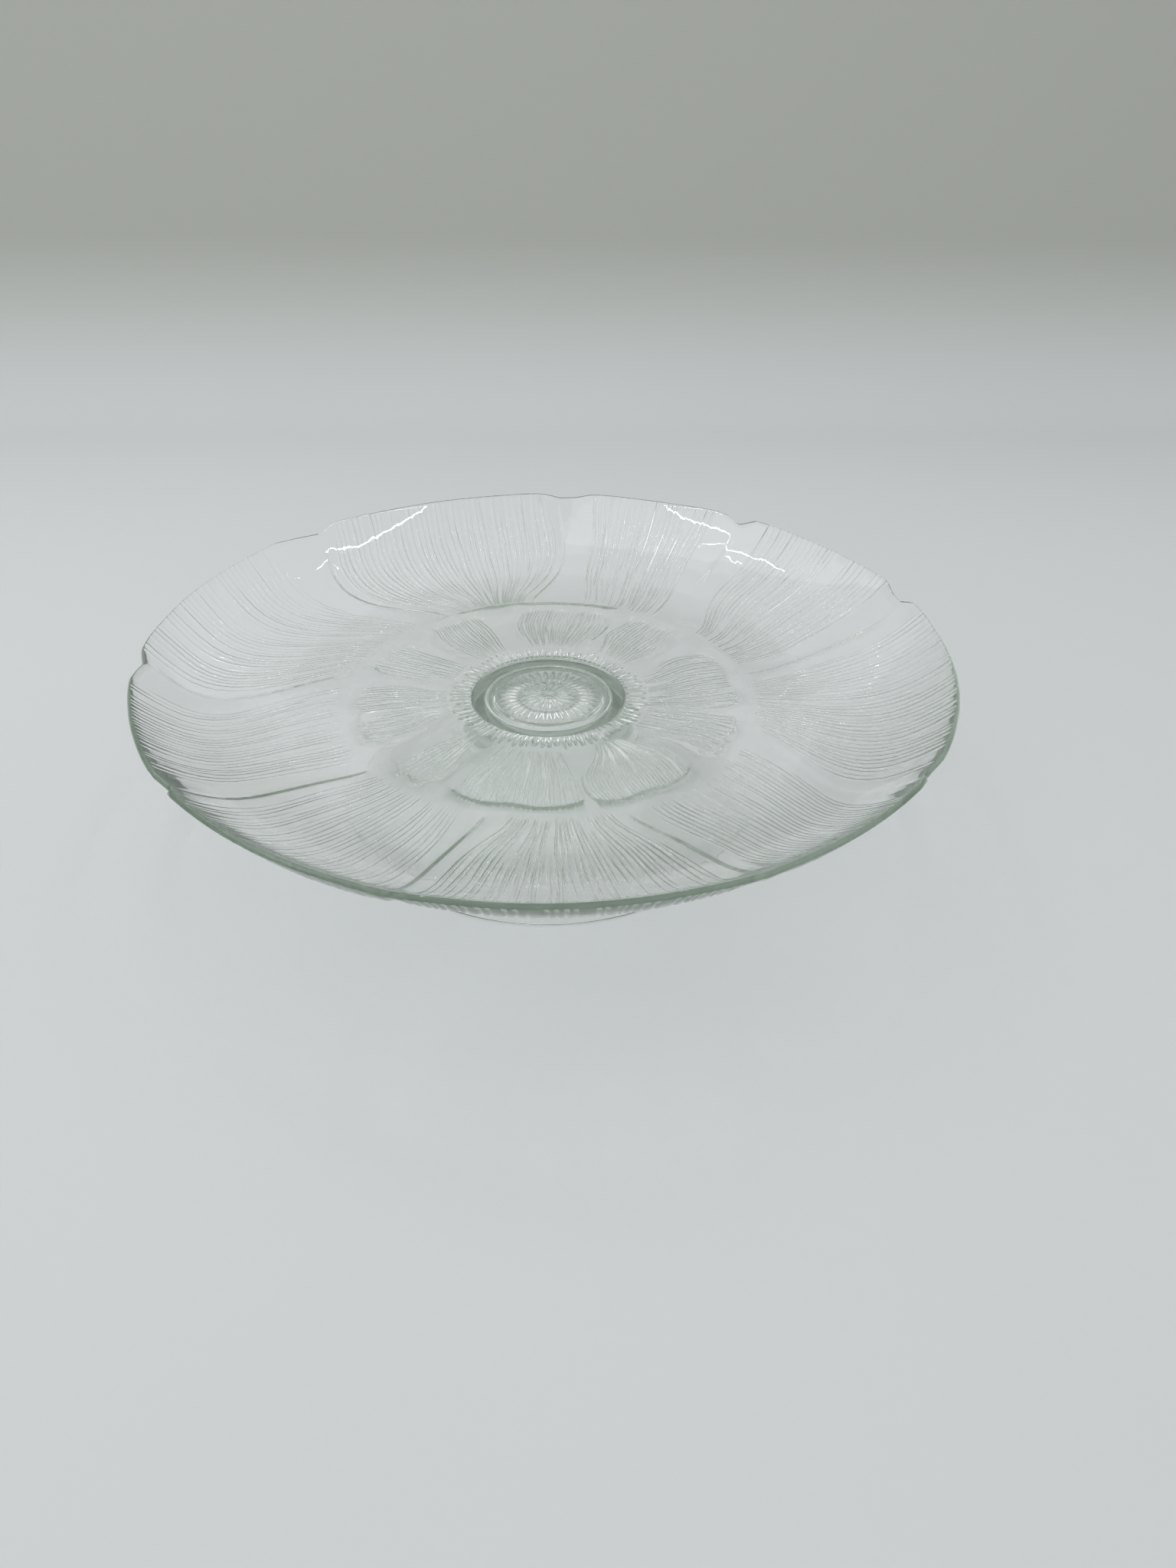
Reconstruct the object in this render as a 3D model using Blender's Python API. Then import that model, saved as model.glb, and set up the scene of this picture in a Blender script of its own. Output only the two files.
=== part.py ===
"""Footed cake plate of clear pressed glass: a dished plate with a flower in relief
on its underside, fused to a hollow flared foot. Metres, +Z up, origin on the table
at the middle of the foot."""

import math

import bmesh
import bpy

# Overall sizes
RIM_RADIUS = 0.159
OVERALL_HEIGHT = 0.076

# Dish of the plate
DISH_DEPTH = 0.0233
WELL_RADIUS = 0.086
RIM_ANGLE = math.radians(42.0)
WELL_THICKNESS = 0.0046
RIM_THICKNESS = 0.0034
LIP_ROUND = 0.0012

# Foot
STEM_RADIUS = 0.031
STEM_WALL = 0.0046
FOOT_RADIUS = 0.085
FOOT_EDGE = 0.0036
FOOT_WALL = 0.0040
FOOT_RING_WIDTH = 0.0065
FOOT_CHAMFER = 0.0012
FOOT_FLARE = 2.3
FUSE_GAP = 0.0003

# Collar under the plate that the foot is fused to
COLLAR_DROP = 0.0016
COLLAR_MARGIN = 0.0004
COLLAR_FLANK = 0.0010

# Outer flower, from the plain ring to the rim
PETAL_BASE_RADIUS = 0.0870
PETAL_RELIEF = 0.0011
PETAL_UNDERLAP = 0.35
PETAL_CROWN = 0.0003
PETAL_BEVEL = 0.0022
NOTCH_DEPTH = 0.0028
NOTCH_SHOULDER = math.radians(4.5)

# Inner flower, inside the plain ring
FLOWER_RADIUS = 0.0815
FLOWER_SCALLOP = 0.0030
FLOWER_RELIEF = 0.0010
FLOWER_PINCH = math.radians(2.6)

# Fringe of stamens round the collar, and the star inside it
FRINGE_MARGIN = 0.0008
FRINGE_WIDTH = 0.0098
FRINGE_RELIEF = 0.0007
FLOWER_MARGIN = 0.0012
DISC_INSET = 0.0062
DISC_RELIEF = 0.0008
STAR_INSET = 0.0075
STAR_RELIEF = 0.0006
STAR_RAYS = 16
STAR_VALLEY = 0.55

# Each outer boundary in degrees: place at the rim, place at the plain ring,
# sharpness of its sweep, half gap at the rim, and the side that lies on top
OUTER_BOUNDARIES = (
    (14.0, 7.5, 3.6, 3.0, -1),
    (52.0, 43.0, 3.0, 2.0, -1),
    (84.0, 97.0, 4.2, 4.0, 1),
    (138.0, 126.0, 2.6, 4.0, -1),
    (188.0, 169.0, 2.2, 3.5, -1),
    (217.0, 220.0, 3.0, 1.6, 1),
    (251.0, 258.5, 3.5, 1.3, 1),
    (294.0, 286.5, 5.0, 1.6, -1),
    (321.5, 342.0, 2.2, 2.5, 1),
)

# Each inner boundary: its place in degrees, and the side that lies on top
INNER_BOUNDARIES = (
    (34.5, -1),
    (64.0, 1),
    (107.0, -1),
    (141.0, -1),
    (167.5, 1),
    (215.5, -1),
    (237.5, 1),
    (281.0, 1),
    (324.5, -1),
    (347.0, 1),
)

# How finely the forms are divided
OUTER_STEPS = 9
INNER_STEPS = 6
RING_STEPS = 64
TURN_STEPS = 72
FLARE_STEPS = 12
PETAL_ROWS = (0.0, 0.035, 0.2, 0.38, 0.56, 0.72, 0.86, 0.95, 1.0)
FLOWER_ROWS = (0.0, 0.06, 0.35, 0.65, 0.92, 1.0)
TOP_ROWS = (0.0, 0.2, 0.38, 0.56, 0.72, 0.86, 0.95, 1.0)
LIP_ANGLES = (-45.0, 0.0, 45.0)

# Glass
PLATE_COLOUR = (0.92, 0.95, 0.93, 1.0)
FOOT_COLOUR = (0.90, 0.94, 0.92, 1.0)
GLASS_ROUGHNESS = 0.02
GLASS_IOR = 1.52
CREASE_ANGLE = math.radians(30.0)

# Sizes that follow from those above
SERVING_HEIGHT = OVERALL_HEIGHT - DISH_DEPTH
LIP_HALF = RIM_THICKNESS / 2.0
LIP_REACH = math.hypot(LIP_HALF * math.sin(RIM_ANGLE), LIP_ROUND * math.cos(RIM_ANGLE))
LIP_RISE = math.hypot(LIP_HALF * math.cos(RIM_ANGLE), LIP_ROUND * math.sin(RIM_ANGLE))
LIP_RADIUS = RIM_RADIUS - LIP_REACH - LIP_HALF * math.sin(RIM_ANGLE)
DISH_RISE = DISH_DEPTH - LIP_RISE + LIP_HALF * math.cos(RIM_ANGLE)
DISH_CURVE = math.tan(RIM_ANGLE) * (LIP_RADIUS - WELL_RADIUS) / DISH_RISE
BORE_RADIUS = STEM_RADIUS - STEM_WALL
FRINGE_INNER = STEM_RADIUS + COLLAR_MARGIN + COLLAR_FLANK + FRINGE_MARGIN
FRINGE_OUTER = FRINGE_INNER + FRINGE_WIDTH
FLOWER_INNER = FRINGE_OUTER + FLOWER_MARGIN
DISC_RADIUS = BORE_RADIUS - COLLAR_MARGIN - COLLAR_FLANK - DISC_INSET
STAR_RADIUS = DISC_RADIUS - STAR_INSET
FOOT_TOP = SERVING_HEIGHT - WELL_THICKNESS - COLLAR_DROP - FUSE_GAP


def rise_share(radius):
    return max(0.0, radius - WELL_RADIUS) / (LIP_RADIUS - WELL_RADIUS)


def top_point(radius):
    """Point of the smooth upper surface, as radius and height."""
    return radius, SERVING_HEIGHT + DISH_RISE * rise_share(radius) ** DISH_CURVE


def top_angle(radius):
    """Slope of the upper surface at a radius."""
    steepness = rise_share(radius) ** (DISH_CURVE - 1.0)
    return math.atan(math.tan(RIM_ANGLE) * steepness)


def under_point(radius, relief):
    """Point of the underside, square below the upper surface at a radius."""
    share = rise_share(radius)
    depth = WELL_THICKNESS + (RIM_THICKNESS - WELL_THICKNESS) * share + relief
    angle = top_angle(radius)
    height = top_point(radius)[1] - depth * math.cos(angle)
    return radius + depth * math.sin(angle), height


def petal_shares(steps, bevel):
    """Places across a petal: its two edges, the inner ends of its bevels, and even steps."""
    inner = [bevel + (1.0 - 2.0 * bevel) * step / steps for step in range(steps + 1)]
    return [0.0] + inner + [1.0]


def edge_heights(boundaries, index):
    """Relief of a petal at its two edges: full where it lies on top, less where it is tucked under."""
    first = boundaries[index][-1]
    last = boundaries[(index + 1) % len(boundaries)][-1]
    left = 1.0 if first > 0 else PETAL_UNDERLAP
    right = 1.0 if last < 0 else PETAL_UNDERLAP
    return left, right


def boundary_angle(boundary, share):
    """Middle of a gap between two outer petals, and its half width, in degrees."""
    rim, base, sweep, gap, _ = boundary
    return rim + (base - rim) * (1.0 - share) ** sweep, gap * share ** 2


def outer_columns():
    """One entry for each column of the outer flower: how to find its angle, lip radius and relief."""
    columns = []
    count = len(OUTER_BOUNDARIES)
    middle = (PETAL_BASE_RADIUS + RIM_RADIUS) / 2.0
    for index, first in enumerate(OUTER_BOUNDARIES):
        last = OUTER_BOUNDARIES[(index + 1) % count]
        turn = 360.0 if index == count - 1 else 0.0
        width = math.radians(last[0] + turn - first[0])
        left, right = edge_heights(OUTER_BOUNDARIES, index)
        bevel = PETAL_BEVEL / (middle * width)
        for place in petal_shares(OUTER_STEPS, bevel):
            at_edge = place in (0.0, 1.0)
            height = 0.0 if at_edge else left + (right - left) * place
            crown = 4.0 * place * (1.0 - place)
            from_edge = min(place, 1.0 - place) * width
            shoulder = max(0.0, 1.0 - from_edge / NOTCH_SHOULDER) ** 2
            columns.append((first, last, turn, place, height, crown, shoulder))
    return columns


def column_angle(column, share):
    first, last, turn, place = column[:4]
    start, start_gap = boundary_angle(first, share)
    end, end_gap = boundary_angle(last, share)
    left = start + start_gap
    right = end + turn - end_gap
    return math.radians(left + (right - left) * place)


def column_radius(column, share, base=PETAL_BASE_RADIUS):
    """Radius of the upper surface over a column, from a base circle out to the notched lip."""
    lip = LIP_RADIUS - NOTCH_DEPTH * column[6]
    return base + (lip - base) * share


def column_relief(column, share):
    if share == 0.0:
        return 0.0
    fade = 1.0 - share ** 8
    return (PETAL_RELIEF * column[4] + PETAL_CROWN * column[5]) * fade


def at(angle, radius, height):
    return radius * math.cos(angle), radius * math.sin(angle), height


def petal_ring(columns, share):
    """Ring of the underside across the outer flower."""
    ring = []
    for column in columns:
        spot = under_point(column_radius(column, share), column_relief(column, share))
        ring.append(at(column_angle(column, share), *spot))
    return ring


def lip_ring(columns, lip_angle):
    """Ring of the rounded lip, from the upper surface over to the underside."""
    across = math.sin(math.radians(lip_angle)) * LIP_HALF
    out = math.cos(math.radians(lip_angle)) * LIP_ROUND
    ring = []
    for column in columns:
        radius, height = top_point(column_radius(column, 1.0))
        angle = top_angle(column_radius(column, 1.0))
        depth = LIP_HALF + across
        spot_radius = radius + depth * math.sin(angle) + out * math.cos(angle)
        spot_height = height - depth * math.cos(angle) + out * math.sin(angle)
        ring.append(at(column_angle(column, 1.0), spot_radius, spot_height))
    return ring


def top_ring(columns, share):
    """Ring of the smooth upper surface."""
    ring = []
    for column in columns:
        radius = column_radius(column, share, base=WELL_RADIUS)
        ring.append(at(column_angle(column, 1.0), *top_point(radius)))
    return ring


def flower_rings():
    """Rings of the inner flower, from its outer scallops in to its base."""
    count = len(INNER_BOUNDARIES)
    rings = []
    for share in reversed(FLOWER_ROWS):
        ring = []
        pinch = FLOWER_PINCH * (2.0 * share - 1.0) ** 2
        for index, first in enumerate(INNER_BOUNDARIES):
            turn = 360.0 if index == count - 1 else 0.0
            start = math.radians(first[0]) + pinch / 2.0
            end = math.radians(INNER_BOUNDARIES[(index + 1) % count][0] + turn) - pinch / 2.0
            left, right = edge_heights(INNER_BOUNDARIES, index)
            middle = (FLOWER_INNER + FLOWER_RADIUS) / 2.0
            bevel = PETAL_BEVEL / (middle * (end - start))
            for place in petal_shares(INNER_STEPS, bevel):
                tip = FLOWER_RADIUS - FLOWER_SCALLOP * (2.0 * place - 1.0) ** 4
                flat = place in (0.0, 1.0) or share in (0.0, 1.0)
                relief = 0.0 if flat else FLOWER_RELIEF * (left + (right - left) * place)
                radius = FLOWER_INNER + (tip - FLOWER_INNER) * share
                ring.append(at(start + (end - start) * place, *under_point(radius, relief)))
        rings.append(ring)
    return rings


def plain_ring(radius, relief, steps=RING_STEPS):
    spot = under_point(radius, relief)
    return [at(2.0 * math.pi * step / steps, *spot) for step in range(steps)]


def star_ring(radius, relief):
    """Ring whose points lie in turn on the rays and in the valleys of the star."""
    ring = []
    for step in range(2 * STAR_RAYS):
        valley = step % 2 == 1
        spot = under_point(radius * (STAR_VALLEY if valley else 1.0), relief)
        ring.append(at(math.pi * step / STAR_RAYS, *spot))
    return ring


def middle_rings():
    """Rings under the middle of the plate: fringe, collar, disc and star."""
    rim = COLLAR_MARGIN + COLLAR_FLANK
    fringe_bevel = FRINGE_MARGIN
    return [
        plain_ring(FRINGE_OUTER, 0.0),
        plain_ring(FRINGE_OUTER - fringe_bevel, FRINGE_RELIEF),
        plain_ring(FRINGE_INNER + fringe_bevel, FRINGE_RELIEF),
        plain_ring(FRINGE_INNER, 0.0),
        plain_ring(STEM_RADIUS + rim, 0.0),
        plain_ring(STEM_RADIUS + COLLAR_MARGIN, COLLAR_DROP),
        plain_ring(BORE_RADIUS - COLLAR_MARGIN, COLLAR_DROP),
        plain_ring(BORE_RADIUS - rim, 0.0),
        plain_ring(DISC_RADIUS, 0.0),
        plain_ring(DISC_RADIUS - DISC_RELIEF, DISC_RELIEF),
        star_ring(STAR_RADIUS, DISC_RELIEF),
        star_ring(STAR_RADIUS - STAR_RELIEF, DISC_RELIEF + STAR_RELIEF),
    ]


def ring_angles(ring):
    """Angles round a ring, rising from its first point."""
    angles = []
    for vert in ring:
        angle = math.atan2(vert.co.y, vert.co.x)
        while angles and angle < angles[-1]:
            angle += 2.0 * math.pi
        angles.append(angle)
    return angles


def join_rings(mesh, upper, lower):
    """Faces from one ring to the next: four-sided where they match, else a band of triangles."""
    if len(upper) == len(lower):
        for step in range(len(upper)):
            after = (step + 1) % len(upper)
            mesh.faces.new((upper[step], lower[step], lower[after], upper[after]))
        return
    first = ring_angles(upper)
    offset = min(range(len(lower)), key=lambda place: turn_between(lower[place], upper[0]))
    lower = lower[offset:] + lower[:offset]
    second = ring_angles(lower)
    turns = round((first[0] - second[0]) / (2.0 * math.pi))
    second = [angle + turns * 2.0 * math.pi for angle in second]
    first.append(first[0] + 2.0 * math.pi)
    second.append(second[0] + 2.0 * math.pi)
    here = 0
    there = 0
    while here < len(upper) or there < len(lower):
        over = upper[here % len(upper)]
        under = lower[there % len(lower)]
        move_upper = there == len(lower)
        if here < len(upper) and not move_upper:
            move_upper = first[here + 1] + first[here] < second[there + 1] + second[there]
        if move_upper:
            here += 1
            mesh.faces.new((over, under, upper[here % len(upper)]))
        else:
            there += 1
            mesh.faces.new((over, under, lower[there % len(lower)]))


def turn_between(one, other):
    """How far apart two points lie in angle."""
    apart = math.atan2(one.co.y, one.co.x) - math.atan2(other.co.y, other.co.x)
    return abs(math.remainder(apart, 2.0 * math.pi))


def glass(name, colour):
    material = bpy.data.materials.new(name)
    material.use_nodes = True
    shader = material.node_tree.nodes["Principled BSDF"]
    shader.inputs["Base Color"].default_value = colour
    shader.inputs["Roughness"].default_value = GLASS_ROUGHNESS
    shader.inputs["Metallic"].default_value = 0.0
    shader.inputs["IOR"].default_value = GLASS_IOR
    shader.inputs["Transmission Weight"].default_value = 1.0
    return material


def add_object(name, mesh, material):
    mesh.materials.append(material)
    mesh.shade_smooth()
    mesh.set_sharp_from_angle(angle=CREASE_ANGLE)
    part = bpy.data.objects.new(name, mesh)
    bpy.context.scene.collection.objects.link(part)
    return part


def make_plate():
    columns = outer_columns()
    rows = [top_ring(columns, share) for share in TOP_ROWS]
    rows += [lip_ring(columns, lip_angle) for lip_angle in LIP_ANGLES]
    rows += [petal_ring(columns, share) for share in reversed(PETAL_ROWS)]
    rows += flower_rings()
    rows += middle_rings()
    mesh = bmesh.new()
    rings = [[mesh.verts.new(spot) for spot in row] for row in rows]
    for upper, lower in zip(rings, rings[1:]):
        join_rings(mesh, upper, lower)
    top_centre = mesh.verts.new((0.0, 0.0, SERVING_HEIGHT))
    fan(mesh, top_centre, list(reversed(rings[0])))
    star_height = under_point(0.0, DISC_RELIEF + STAR_RELIEF)[1]
    fan(mesh, mesh.verts.new((0.0, 0.0, star_height)), rings[-1])
    data = bpy.data.meshes.new("plate")
    mesh.to_mesh(data)
    mesh.free()
    return add_object("plate", data, glass("plate_glass", PLATE_COLOUR))


def fan(mesh, centre, ring):
    """Faces from a ring to one point in its middle."""
    for step, vert in enumerate(ring):
        mesh.faces.new((centre, ring[(step + 1) % len(ring)], vert))


def flare_point(share):
    """Point of the foot's outside, from the stem at 0 to the foot's edge at 1."""
    height = FOOT_TOP + (FOOT_EDGE - FOOT_TOP) * share
    return STEM_RADIUS + (FOOT_RADIUS - STEM_RADIUS) * share ** FOOT_FLARE, height


def bore_point(share):
    """Point of the foot's inside, one wall in from its outside."""
    radius, height = flare_point(share)
    spread = (FOOT_RADIUS - STEM_RADIUS) * FOOT_FLARE * share ** (FOOT_FLARE - 1.0)
    drop = FOOT_TOP - FOOT_EDGE
    length = math.hypot(spread, drop)
    wall = STEM_WALL + (FOOT_WALL - STEM_WALL) * share
    return radius - wall * drop / length, height - wall * spread / length


def foot_outline():
    """Closed outline of the foot, down its outside and up its inside."""
    shares = [step / FLARE_STEPS for step in range(FLARE_STEPS + 1)]
    outside = [flare_point(share) for share in shares]
    ring_inner = FOOT_RADIUS - FOOT_RING_WIDTH
    base = [
        (FOOT_RADIUS, FOOT_CHAMFER),
        (FOOT_RADIUS - FOOT_CHAMFER, 0.0),
        (ring_inner, 0.0),
    ]
    inside = [bore_point(share) for share in shares]
    inside = [spot for spot in inside if spot[0] < ring_inner - FOOT_CHAMFER]
    return outside + base + list(reversed(inside))


def make_foot():
    outline = foot_outline()
    count = len(outline)
    edges = [(step, (step + 1) % count) for step in range(count)]
    data = bpy.data.meshes.new("pedestal_foot")
    data.from_pydata([(radius, 0.0, height) for radius, height in outline], edges, [])
    foot = add_object("pedestal_foot", data, glass("foot_glass", FOOT_COLOUR))
    turn = foot.modifiers.new("turn", "SCREW")
    turn.axis = "Z"
    turn.steps = TURN_STEPS
    turn.render_steps = TURN_STEPS
    turn.use_merge_vertices = True
    turn.merge_threshold = 0.00001
    turn.use_smooth_shade = True
    return foot


def main():
    for item in list(bpy.data.objects):
        bpy.data.objects.remove(item, do_unlink=True)
    make_plate()
    make_foot()


main()
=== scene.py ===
"""Looks of the footed cake plate: clear pressed glass with a ribbed flower under the dish."""

import math

import bpy
import numpy as np
from mathutils import Matrix, Vector


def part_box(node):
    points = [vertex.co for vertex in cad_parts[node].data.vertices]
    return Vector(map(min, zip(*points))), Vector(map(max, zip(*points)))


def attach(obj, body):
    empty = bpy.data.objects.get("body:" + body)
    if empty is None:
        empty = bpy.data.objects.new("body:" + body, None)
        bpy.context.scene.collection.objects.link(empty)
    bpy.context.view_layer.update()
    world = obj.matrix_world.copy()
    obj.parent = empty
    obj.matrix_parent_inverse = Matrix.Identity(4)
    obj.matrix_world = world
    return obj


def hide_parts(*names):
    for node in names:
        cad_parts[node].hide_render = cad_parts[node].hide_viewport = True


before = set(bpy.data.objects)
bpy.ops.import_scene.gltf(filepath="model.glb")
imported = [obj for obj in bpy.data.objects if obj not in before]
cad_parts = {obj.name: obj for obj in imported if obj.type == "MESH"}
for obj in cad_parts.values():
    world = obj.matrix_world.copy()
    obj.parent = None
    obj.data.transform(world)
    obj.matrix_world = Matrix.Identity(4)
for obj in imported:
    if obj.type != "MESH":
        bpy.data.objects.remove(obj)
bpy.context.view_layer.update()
PLATE_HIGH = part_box("plate")[1]
FOOT_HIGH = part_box("pedestal_foot")[1]

# Sizes of the frame, in metres
FOOT_INSET = 0.0012
RIM_RADIUS = PLATE_HIGH.x
OVERALL_HEIGHT = PLATE_HIGH.z
FOOT_RADIUS = FOOT_HIGH.x - FOOT_INSET

# Dish of the plate
DISH_DEPTH = 0.0233
WELL_RADIUS = 0.086
RIM_ANGLE = math.radians(42.0)
WELL_THICKNESS = 0.0046
LIP_THICKNESS = 0.0020
LIP_INSET = 0.0009
LIP_RISE = 0.0009

# Foot: its hollow stem, the flare that runs out to a thin edge, and how deep it is fused into the collar
STEM_RADIUS = 0.031
STEM_WALL = 0.0046
FOOT_EDGE = 0.0003
FOOT_WALL = 0.0014
FOOT_RING_WIDTH = 0.0060
FOOT_ROUND = 0.00015
FOOT_FLARE = 1.5
FOOT_SETTLE = 1.7
FUSED_DEPTH = 0.00002

# Thicker wall of the foot's neck, with its places as shares of the flare
NECK_SWELL = 0.0042
NECK_FULL = 0.22
NECK_FADE = 0.26
NECK_FADE_LENGTH = 0.3

# Collar under the plate that the foot is fused to, with the bend in its flanks as shares of them
COLLAR_DROP = 0.0016
COLLAR_OUTER_MARGIN = 0.0002
COLLAR_OUTER_FLANK = 0.0004
COLLAR_INNER_MARGIN = 0.0004
COLLAR_INNER_FLANK = 0.0010
COLLAR_BEND_PLACE = 0.2
COLLAR_BEND_DROP = 0.75

# Distance from a sharp edge of the foot or the collar to the ring of the mesh that keeps it sharp
CORNER = 0.0003

# Outer flower, with places along a petal as shares of the way from its base to the rim
PETAL_BASE_RADIUS = 0.0830
PETAL_RELIEF = 0.0009
PETAL_EASE = 0.16
PETAL_CROWN = 0.0003

# Swelling of the petals that face the viewer, under the rim
PETAL_BULGE = 0.0028
PETAL_BULGE_EDGE = 0.5
PETAL_BULGE_START = 0.5
PETAL_BULGE_ROW = 0.88
PETAL_BULGE_POWER = 1.5
FRONT_POWER = 4

# Ridge at the base of the back petals, with its height as shares at these places in degrees
BASE_RIDGE = 0.0006
BASE_RIDGE_RISE = 0.022
BASE_RIDGE_END = 0.25
BASE_RIDGE_PLACES = (66.0, 71.0, 95.0, 100.0, 105.0, 123.0, 131.0)
BASE_RIDGE_SHARES = (0.0, 1.0, 1.0, 0.35, 0.55, 0.45, 0.0)

# Corners that stand out beside a notch, and the dip of the glass that leads to it, with widths in degrees
NOTCH_LIFT = 0.3
NOTCH_LIFT_WIDTH = 10.0
TOP_VALLEY = 0.0007
TOP_VALLEY_WIDTH = 8.0
TOP_VALLEY_POWER = 1.5
TOP_VALLEY_START = 0.45
TOP_VALLEY_LENGTH = 0.5

# Inner flower, with places along a petal as shares of the way from the fringe to its tip
FLOWER_RADIUS = 0.0790
FLOWER_RELIEF = 0.0007
FLOWER_EASE = 0.6
FLOWER_TIP = 0.05
FLOWER_RIB_END = 0.08
FLOWER_CORNER = 0.0030
FLOWER_CORNER_POWER = 4
FLOWER_DIP = 0.0016
FLOWER_DIP_PLACE = 0.47
FLOWER_DIP_WIDTH = 0.14
FLOWER_GAP_DIP = 0.5
FLOWER_GAP_TIP = 0.3

# Fringe, boss and star: radii, heights that stand out from the underside, and numbers of teeth
FRINGE_MARGIN = 0.0003
FRINGE_OUTER = 0.0408
FRINGE_RELIEF = 0.0010
FRINGE_TEETH = 86
FLOWER_MARGIN = 0.0008
BOSS_OUTER = 0.0243
BOSS_INNER = 0.0207
BOSS_RELIEF = 0.0012
BURST_OUTER = 0.0200
BURST_INNER = 0.0122
BURST_RELIEF = -0.0009
BURST_TEETH = 36
DISHED_OUTER = 0.0132
DISHED_INNER = 0.0070
DISHED_DEPTH = 0.0014
STAR_OUTER = 0.0113
STAR_INNER = 0.0030
STAR_RELIEF = 0.0007
STAR_RAYS = 18
BUTTON_RADIUS = 0.0019
BUTTON_FLANK = 0.0004
BUTTON_RELIEF = 0.0003

# Teeth of each band: width at the inner and at the outer end as shares of a tooth's room, and unevenness
FRINGE_SHAPE = (0.65, 0.3, 0.28)
BURST_SHAPE = (0.85, 0.15, 0.08)
STAR_SHAPE = (0.8, 0.25, 0.1)

# All teeth: places of the columns across one, softness of its sides, ends as shares of the band,
# and how much shorter unevenness makes some of them
TOOTH_PLACES = np.array((0.0, 0.12, 0.22, 0.32, 0.42, 0.5, 0.58, 0.68, 0.78, 0.88))
TOOTH_EDGE = 0.2
TOOTH_ROOT = 0.1
TOOTH_TIP = 0.14
TOOTH_SHORTENING = 1.4

# Each gap between two outer petals: its two edges in degrees at these shares of the rim's radius
OUTER_PLACES = (0.55, 0.65, 0.75, 0.85, 0.98)
OUTER_GAPS = (
    ((7.0, 10.0, 11.2, 11.0, 10.5), (16.5, 17.0, 19.3, 19.7, 19.5)),
    ((38.5, 46.0, 49.5, 48.5, 48.5), (54.5, 55.5, 57.5, 58.5, 57.5)),
    ((79.0, 81.0, 81.0, 81.0, 82.0), (98.0, 90.5, 87.2, 87.0, 89.0)),
    ((121.0, 131.0, 135.8, 136.0, 131.5), (130.0, 136.8, 142.5, 144.0, 142.0)),
    ((166.0, 174.0, 180.5, 184.5, 181.0), (174.0, 180.0, 187.0, 191.0, 189.0)),
    ((214.5, 212.0, 211.5, 213.0, 212.5), (221.5, 218.8, 218.8, 220.0, 219.5)),
    ((249.0, 249.8, 249.3, 249.5, 250.0), (260.5, 254.5, 253.0, 253.0, 253.5)),
    ((285.5, 291.5, 293.0, 293.2, 292.0), (291.5, 296.0, 298.0, 297.7, 298.5)),
    ((334.5, 329.5, 324.0, 319.0, 318.5), (341.0, 334.0, 327.5, 324.5, 327.0)),
)

# The step in each of these gaps, between the thicker and the thinner petal: its place across the gap,
# its width, the thicker side, its strength, and the share of the rim's radius where it fades
OUTER_STEPS = (
    (0.40, 0.0020, 1, 0.55, 0.85),
    (0.50, 0.0040, -1, 0.50, 1.20),
    (0.85, 0.0020, 1, 0.65, 0.82),
    (0.15, 0.0022, -1, 0.85, 0.86),
    (0.25, 0.0050, -1, 0.50, 0.95),
    (0.62, 0.0026, -1, 0.90, 0.80),
    (0.48, 0.0022, -1, 1.00, 1.20),
    (0.45, 0.0030, 1, 0.70, 1.20),
    (0.60, 0.0035, -1, 0.50, 1.20),
)
STEP_FADE_SHARE = 0.8
STEP_FADE_LENGTH = 0.1
STEP_MARGIN = 0.03
STEP_HALF_LIMIT = 0.45

# Each notch in the rim: its place in degrees, its depth, and its reach in degrees to either side
NOTCHES = (
    (15.2, 0.0020, 3.2, 5.5),
    (53.2, 0.0020, 3.2, 3.5),
    (86.3, 0.0012, 5.0, 5.0),
    (135.0, 0.0018, 5.5, 5.5),
    (184.2, 0.0014, 4.2, 4.6),
    (216.7, 0.0016, 3.0, 2.4),
    (252.0, 0.0017, 1.6, 2.2),
    (293.0, 0.0014, 2.4, 2.4),
    (324.7, 0.0014, 3.0, 4.0),
)

# Each gap between two inner petals: its two edges in degrees at these shares of the rim's radius
INNER_PLACES = (0.28, 0.34, 0.40, 0.45, 0.485)
INNER_GAPS = (
    ((22.0, 28.5, 31.0, 29.5, 25.5), (36.0, 37.7, 38.5, 40.5, 44.0)),
    ((59.0, 64.8, 64.5, 62.0, 60.0), (71.3, 66.8, 65.6, 66.5, 69.0)),
    ((101.0, 104.0, 104.0, 101.5, 98.0), (115.3, 113.3, 113.0, 112.7, 115.0)),
    ((134.5, 137.3, 137.3, 134.7, 131.0), (144.5, 144.2, 144.5, 145.5, 146.5)),
    ((165.0, 165.0, 164.6, 164.0, 162.8), (175.5, 172.8, 171.4, 172.0, 175.0)),
    ((200.0, 205.0, 208.0, 207.5, 205.5), (220.5, 218.5, 217.6, 219.0, 222.0)),
    ((230.5, 233.0, 235.5, 234.5, 232.0), (244.5, 242.5, 241.4, 241.0, 242.7)),
    ((276.0, 279.0, 279.3, 279.3, 279.0), (296.0, 285.0, 280.4, 280.7, 284.0)),
    ((310.0, 318.5, 319.7, 318.0, 312.5), (321.0, 325.0, 326.7, 326.0, 323.5)),
    ((345.5, 346.8, 347.5, 348.0, 347.0), (346.5, 348.3, 350.0, 351.5, 355.5)),
)

# Rounding of the edges between the places above
EDGE_EASE = 0.05
EDGE_SAMPLES = 9

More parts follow.
